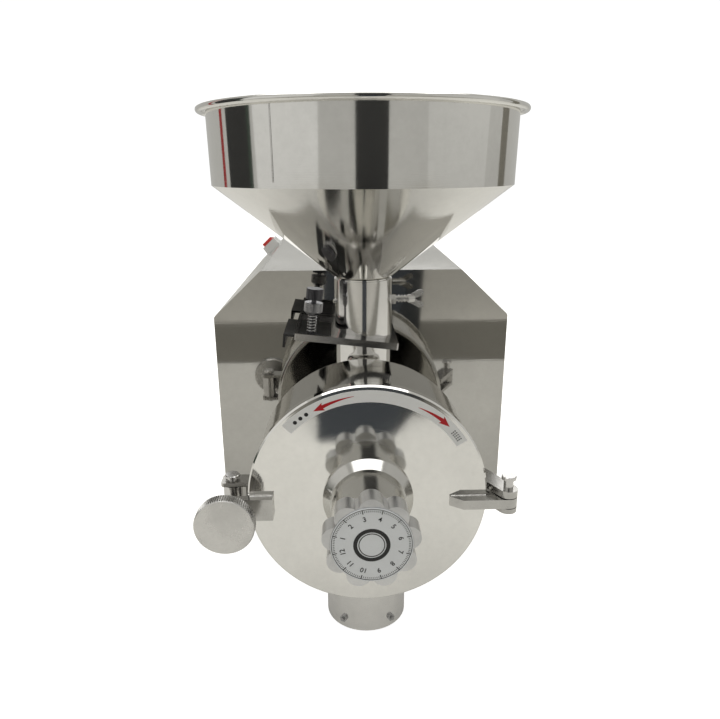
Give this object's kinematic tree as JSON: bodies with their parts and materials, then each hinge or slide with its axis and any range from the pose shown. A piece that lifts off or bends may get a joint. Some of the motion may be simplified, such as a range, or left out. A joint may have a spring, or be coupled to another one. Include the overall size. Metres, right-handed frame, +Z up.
{
  "type": "disc mill",
  "caption": "Electric disc mill for grain: steel casing with motor, hinged round cover with numbered star knob, open hopper with slide gate, and a round outlet below.",
  "frame": {"origin": "on the bench, under the middle of the whole machine's bounding box", "axes": "+Y runs back along the shaft from the numbered dial to the cable gland, +X is to the right seen from the dial, +Z is up"},
  "size_m": [0.342, 0.744, 0.531],
  "materials": {
    "casing_steel": "bright polished stainless sheet, nearly a mirror",
    "plate_steel": "mirror-polished stainless plate",
    "hopper_steel": "bright polished stainless, spun",
    "throat_steel": "bright polished stainless tube",
    "drum_steel": "polished cast stainless",
    "cover_steel": "mirror-polished turned face",
    "boss_steel": "fine turned",
    "spout_steel": "bright polished",
    "gate_steel": "polished sheet",
    "bracket_steel": "polished, with weld beads",
    "pin_steel": "turned",
    "knob_steel": "fine brushed, knurled rim",
    "screw_steel": "bright zinc",
    "dark_steel": "blackened, knurled",
    "nut_steel": "dull nickel, knurled",
    "gate_black": "black, satin",
    "star_grey": "satin cast aluminium",
    "gland_black": "matte",
    "dial_face": "pale grey printed disc",
    "label_white": "white printed film",
    "switch_white": "milky translucent cover",
    "switch_red": "translucent red",
    "rubber_black": "matte",
    "motor_paint": "satin grey",
    "lamination": "stacked sheet",
    "winding_copper": "enamelled wire",
    "shaft_steel": "ground",
    "disc_iron": "machined face",
    "fan_plastic": "matte"
  },
  "bodies": {
    "mill_body": {"casing_shell": "casing_steel", "front_plate": "plate_steel", "rear_plate": "plate_steel", "rear_plate_screws": "screw_steel", "base_plate": "casing_steel", "foot_front_left": "rubber_black", "foot_front_right": "rubber_black", "foot_rear_left": "rubber_black", "foot_rear_right": "rubber_black", "foot_bolts": "screw_steel", "switch_bezel": "switch_white", "cable_gland": "gland_black", "stator_shell": "motor_paint", "stator_core": "lamination", "stator_windings": "winding_copper", "front_bell": "motor_paint", "rear_bell": "motor_paint", "front_bearing": "shaft_steel", "rear_bearing": "shaft_steel", "motor_cradle": "motor_paint", "run_capacitor": "fan_plastic", "feed_neck": "throat_steel", "neck_bolts": "screw_steel", "shaft_seal": "rubber_black", "drum": "drum_steel", "spout": "spout_steel", "spout_screws": "screw_steel", "hinge_bracket": "bracket_steel", "hinge_pin": "pin_steel", "clamp_bracket": "bracket_steel", "clamp_pin": "pin_steel", "gate_frame": "gate_steel", "gate_bridge": "gate_black", "gate_spring": "screw_steel", "throat": "throat_steel"},
    "rotor": {"main_shaft": "shaft_steel", "rotor_core": "lamination", "cooling_fan": "fan_plastic", "feed_screw": "shaft_steel", "rotating_disc": "disc_iron", "disc_nut": "screw_steel"},
    "cover_group": {"cover": "cover_steel", "cover_gasket": "rubber_black", "adjuster_boss": "boss_steel", "guide_key": "boss_steel", "arc_label": "label_white", "hinge_arm": "bracket_steel", "clamp_lug": "bracket_steel"},
    "fixed_disc_group": {"disc_carrier": "boss_steel", "fixed_disc": "disc_iron"},
    "dial_knob": {"star_knob": "star_grey", "dial": "dial_face"},
    "clamp_bolt": {"swing_bolt": "pin_steel"},
    "clamp_handwheel": {"clamp_knob": "knob_steel"},
    "gate_plate": {"gate_slide": "gate_black"},
    "gate_thumb_screw": {"gate_screw": "dark_steel"},
    "gate_nut": {"gate_lock_nut": "nut_steel"},
    "wing_screw": {"wing_bolt": "knob_steel"},
    "hopper_bowl": {"hopper": "hopper_steel"},
    "switch_rocker": {"rocker": "switch_red"}
  },
  "joints": [
    {"name": "shaft_spin", "type": "hinge", "parent": "mill_body", "child": "rotor", "pos_m": [0, 0, 0.175], "axis": [0, 1, 0], "continuous": true},
    {"name": "cover_swing", "type": "hinge", "parent": "mill_body", "child": "cover_group", "pos_m": [0.1335, -0.296, 0.175], "axis": [0, 0, 1], "range_deg": [0, 150]},
    {"name": "knob_turn", "type": "hinge", "parent": "cover_group", "child": "dial_knob", "pos_m": [0, -0.36, 0.175], "axis": [0, 1, 0], "range_deg": [-330, 0]},
    {"name": "disc_feed", "type": "slide", "parent": "cover_group", "child": "fixed_disc_group", "axis": [0, -1, 0], "range_m": [0, 0.00137]},
    {"name": "clamp_swing", "type": "hinge", "parent": "mill_body", "child": "clamp_bolt", "pos_m": [-0.1305, -0.276, 0.169], "axis": [0, 0, 1], "range_deg": [-105, 0]},
    {"name": "clamp_knob_turn", "type": "hinge", "parent": "clamp_bolt", "child": "clamp_handwheel", "pos_m": [-0.1305, -0.326, 0.169], "axis": [0, 1, 0], "continuous": true},
    {"name": "gate_pull", "type": "slide", "parent": "mill_body", "child": "gate_plate", "axis": [-0.9936, 0, 0.1132], "range_m": [0, 0.058]},
    {"name": "gate_screw_turn", "type": "hinge", "parent": "mill_body", "child": "gate_thumb_screw", "pos_m": [-0.05485, -0.1965, 0.31279], "axis": [0.1132, 0, 0.9936], "continuous": true},
    {"name": "gate_nut_turn", "type": "hinge", "parent": "gate_thumb_screw", "child": "gate_nut", "pos_m": [-0.05258, -0.1965, 0.33267], "axis": [0.1132, 0, 0.9936], "continuous": true},
    {"name": "wing_bolt_turn", "type": "hinge", "parent": "mill_body", "child": "wing_screw", "pos_m": [0.045, -0.166, 0.3415], "axis": [1, 0, 0], "continuous": true},
    {"name": "hopper_lift", "type": "slide", "parent": "mill_body", "child": "hopper_bowl", "axis": [0, 0, 1], "range_m": [0, 0.07]},
    {"name": "rocker_tilt", "type": "hinge", "parent": "mill_body", "child": "switch_rocker", "pos_m": [-0.14987, 0.316, 0.34476], "axis": [0.7263, 0, 0.6874], "range_deg": [0, 16]}
  ],
  "couplings": [
    {"joint": "clamp_swing", "follows": "cover_swing", "ratio": -0.7},
    {"joint": "knob_turn", "follows": "disc_feed", "rad_per_m": -4188.8}
  ]
}
